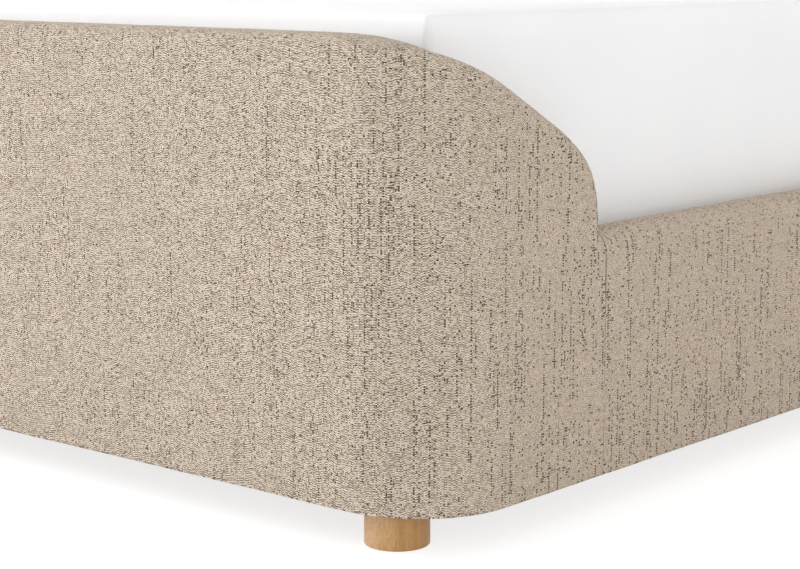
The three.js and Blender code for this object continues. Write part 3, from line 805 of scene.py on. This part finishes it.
def blockMesh(name, low, high, rounds, step):
    bm = boxMesh(low, high)
    for axis in range(3):
        normal = Vector((0, 0, 0))
        normal[axis] = 1
        inner = (low[axis] + rounds[axis], high[axis] - rounds[axis])
        steps = max(2, round((inner[1] - inner[0]) / step))
        cuts = [inner[0] + (inner[1] - inner[0]) * i / steps for i in range(steps + 1)]
        for share in mattress["roundCuts"]:
            cuts += [inner[0] - rounds[axis] * share, inner[1] + rounds[axis] * share]
        for cut in cuts:
            bmesh.ops.bisect_plane(bm, geom=bm.verts[:] + bm.edges[:] + bm.faces[:],
                                   plane_co=normal * cut, plane_no=normal)
    # pull the cut box onto its rounded edges and corners
    for vert in bm.verts:
        core = Vector([min(high[k] - rounds[k], max(low[k] + rounds[k], vert.co[k])) for k in range(3)])
        off = Vector([(vert.co[k] - core[k]) / rounds[k] for k in range(3)])
        if off.length > 0:
            off = off.normalized()
            vert.co = core + Vector([off[k] * rounds[k] for k in range(3)])
    smoothFaces(bm)
    bm.normal_update()
    return meshFrom(bm, name)


def swell(mesh, resting):
    # blow the skin up for a few frames, then keep each point's move within the foam's own give
    m = mattress
    balloon = addObject("tickingBalloon", mesh.copy())
    held = balloon.vertex_groups.new(name="foamHold")
    held.add([vert.index for vert in mesh.vertices], m["foamHold"], "REPLACE")
    held.add(resting, 1.0, "REPLACE")
    cloth = balloon.modifiers.new("ticking", "CLOTH")
    cloth.settings.quality = m["quality"]
    cloth.settings.mass = m["mass"]
    cloth.settings.tension_stiffness = m["stiffness"]
    cloth.settings.compression_stiffness = m["stiffness"]
    cloth.settings.use_pressure = True
    cloth.settings.uniform_pressure_force = m["pressure"]
    cloth.settings.effector_weights.gravity = 0.0
    cloth.settings.vertex_group_mass = held.name
    cloth.settings.pin_stiffness = m["foamPush"]
    cloth.collision_settings.use_collision = False
    scene = bpy.context.scene
    for number in range(1, m["frames"] + 1):
        scene.frame_set(number)
    blown = balloon.evaluated_get(bpy.context.evaluated_depsgraph_get())
    skin = blown.to_mesh()
    moves = [skin.vertices[k].co - vert.co for k, vert in enumerate(mesh.vertices)]
    blown.to_mesh_clear()
    for vert, move in zip(mesh.vertices, moves):
        for axis, cap in enumerate((m["sideCap"], m["sideCap"], m["topCap"])):
            vert.co[axis] += cap * math.tanh(move[axis] / cap)
    scene.frame_set(1)
    spare = balloon.data
    bpy.data.objects.remove(balloon)
    bpy.data.meshes.remove(spare)


def makeMattress():
    m = mattress
    low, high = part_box("mattress")
    shrink = Vector((m["shrink"], m["shrink"], 0))
    rounds = (m["sideRound"], m["sideRound"], m["edgeRound"])
    mesh = blockMesh("foamMattress", low + shrink, high - shrink, rounds, m["step"])
    swell(mesh, [vert.index for vert in mesh.vertices if vert.co.z < low.z + m["edgeRound"] / 2])
    piece = newPiece("foamMattress", mesh, whiteTicking, "mattress")
    smooth = piece.modifiers.new("subdivision", "SUBSURF")
    smooth.levels = smooth.render_levels = 1
    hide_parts("mattress")


makeMattress()
print("mattress blown taut")

# turned feet and centre legs
foot = {
    "edge": 0.0018, "edgeTurns": (0.5, 1.05), "topEase": 0.0006, "bore": 0.0043, "boreFloor": 0.012,
    "steps": 72, "weld": 0.00001, "firstTurn": 0.71, "turnStep": 2.4,
}


def makeFoot(name, node, turn):
    low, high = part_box(node)
    centre = (low + high) / 2
    radius = (high.x - low.x) / 2
    e = foot["edge"]
    outline = [(0, 0), (radius - e, 0)]
    outline += [(radius - e + e * math.sin(a), e - e * math.cos(a)) for a in foot["edgeTurns"]]
    outline += [(radius, e), (radius, high.z - foot["topEase"]), (radius - foot["topEase"], high.z)]
    if node.startswith("foot"):
        outline += [(foot["bore"], high.z), (foot["bore"], foot["boreFloor"]), (0, foot["boreFloor"])]
    else:
        outline += [(0, high.z)]
    bm = bmesh.new()
    verts = [bm.verts.new((r, 0, z)) for r, z in outline]
    edges = [bm.edges.new(pair) for pair in zip(verts, verts[1:])]
    bmesh.ops.spin(bm, geom=verts + edges, cent=(0, 0, 0), axis=(0, 0, 1), angle=2 * math.pi,
                   steps=foot["steps"], use_merge=True)
    bmesh.ops.remove_doubles(bm, verts=bm.verts, dist=foot["weld"])
    bmesh.ops.recalc_face_normals(bm, faces=bm.faces)
    crispEdges(bm)
    smoothFaces(bm)
    # the timber's own grain lines and its painted lit side, turned a little differently in every foot
    turned = bm.verts.layers.float_vector.new("turned")
    for vert in bm.verts:
        vert[turned] = Matrix.Rotation(-turn, 3, "Z") @ vert.co
    bmesh.ops.translate(bm, verts=bm.verts, vec=(centre.x, centre.y, 0))
    piece = newPiece(name, meshFrom(bm, name), oiledBeech, "frame")
    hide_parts(node)


# the first turn matches the camera's turn, so the first foot's painted lit side faces the camera's left
grainTurn = foot["firstTurn"]
for end in ("foot", "head"):
    for label in ("right", "left"):
        makeFoot(f"{end}End{label.capitalize()}Foot", f"foot_{end}_{label}", grainTurn)
        grainTurn += foot["turnStep"]
    makeFoot(f"{end}EndCentreLeg", f"centre_leg_{end}", grainTurn)
    grainTurn += foot["turnStep"]
print("feet turned")

# planed slats with eased long edges
slat = {"ease": 0.003, "easeSteps": 3, "longFrom": 0.5}


def makeSlat(name, node):
    bm = boxMesh(*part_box(node))
    longEdges = [e for e in bm.edges if abs((e.verts[0].co - e.verts[1].co).x) > slat["longFrom"]]
    bmesh.ops.bevel(bm, geom=longEdges, offset=slat["ease"], offset_type="OFFSET", affect="EDGES",
                    segments=slat["easeSteps"], profile=0.5, material=-1)
    smoothFaces(bm)
    crispEdges(bm)
    piece = newPiece(name, meshFrom(bm, name), pineAcross, "slat_deck")
    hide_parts(node)


for node in sorted(n for n in nodes if n.removeprefix("slat_").isdigit()):
    makeSlat("plankSlat" + node.removeprefix("slat_"), node)
print("slats planed")

# finishes for the nodes that stay as they are
for name, node in nodes.items():
    if name.endswith(("_core", "_board")):
        give(node, birchPly)
    elif "_bolt_" in name:
        give(node, zincSteel)
    elif name.startswith(("joint_plate", "beam_hanger")):
        give(node, blackPowderCoat)
    elif name.startswith(("slat_ledge", "centre_beam", "corner_block")):
        give(node, pineAlong)
    elif name.startswith("slat_strap"):
        give(node, cottonWebbing)
    elif name.endswith("_foam"):
        give(node, creamFoam)
print("nodes finished")

# floor, light and camera
studio = {
    "floorHalf": 12.0, "floorCells": 8, "floorTone": 0.88, "floorSeen": 0.36, "floorLift": 0.775,
    # the sky is brighter low down, as a white sweep is, so level surfaces keep their tone
    "skyLow": 1.40, "skyTop": 0.73,
    "keyPower": 158.0, "keyWide": 2.2, "keyTall": 1.6,
    "keyPlace": (-4.6, -2.9, 2.2), "keyAim": (0, -1.1, 0.35),
    "lens": 91.06, "sensor": 36.0, "farthest": 60.0,
    "cameraPlace": (2.17449, -2.71296, 0.66529), "cameraTilt": 80.51, "cameraTurn": 40.55,
}


def seenItself(tree):
    # 1 where the camera sees a thing itself or in gloss and glass, 0 where the thing only gives light
    rays = tree.nodes.new("ShaderNodeLightPath")
    seen = calc(tree, "ADD", rays.outputs["Is Camera Ray"], rays.outputs["Is Glossy Ray"], clamp=True)
    return calc(tree, "ADD", seen, rays.outputs["Is Transmission Ray"], clamp=True)


def makeFloor():
    bm = bmesh.new()
    count = studio["floorCells"]
    bmesh.ops.create_grid(bm, x_segments=count, y_segments=count, size=studio["floorHalf"])
    floor = addObject("studioFloor", meshFrom(bm, "studioFloor"))
    finish, tree, shader = startFinish("paleFloor", roughness=0.9, specular=0.0)
    seen = seenItself(tree)
    given = blendTone(tree, seen, (studio["floorTone"],) * 3 + (1,), (studio["floorSeen"],) * 3 + (1,))
    tree.links.new(given, shader.inputs["Base Color"])
    shader.inputs["Emission Color"].default_value = (1, 1, 1, 1)
    tree.links.new(times(tree, seen, studio["floorLift"]), shader.inputs["Emission Strength"])
    floor.data.materials.append(finish)


def makeSky():
    sky = bpy.data.worlds.new("softStudio")
    bpy.context.scene.world = sky
    sky.use_nodes = True
    tree = sky.node_tree
    backdrop = tree.nodes["Background"]
    backdrop.inputs["Color"].default_value = (1, 1, 1, 1)
    upward = parts(tree, tree.nodes.new("ShaderNodeTexCoord").outputs["Generated"])[2]
    glow = remap(tree, upward, 0, 1, studio["skyLow"], studio["skyTop"], "LINEAR")
    given = calc(tree, "MULTIPLY_ADD", seenItself(tree), minus(tree, 1.0, glow), glow)
    tree.links.new(given, backdrop.inputs["Strength"])


def makeKeyLight():
    lamp = bpy.data.lights.new("windowLight", "AREA")
    lamp.shape = "RECTANGLE"
    lamp.size = studio["keyWide"]
    lamp.size_y = studio["keyTall"]
    lamp.energy = studio["keyPower"]
    light = addObject("windowLight", lamp)
    light.location = studio["keyPlace"]
    aim = Vector(studio["keyAim"]) - Vector(light.location)
    light.rotation_euler = aim.to_track_quat("-Z", "Y").to_euler()


def makeCamera():
    lens = bpy.data.cameras.new("cornerCamera")
    lens.sensor_width = studio["sensor"]
    lens.lens = studio["lens"]
    lens.clip_end = studio["farthest"]
    camera = addObject("cornerCamera", lens)
    camera.location = studio["cameraPlace"]
    camera.rotation_euler = (math.radians(studio["cameraTilt"]), 0.0, math.radians(studio["cameraTurn"]))
    bpy.context.scene.camera = camera


makeFloor()
makeSky()
makeKeyLight()
makeCamera()
bpy.context.scene.view_settings.view_transform = "Standard"
print("studio set")
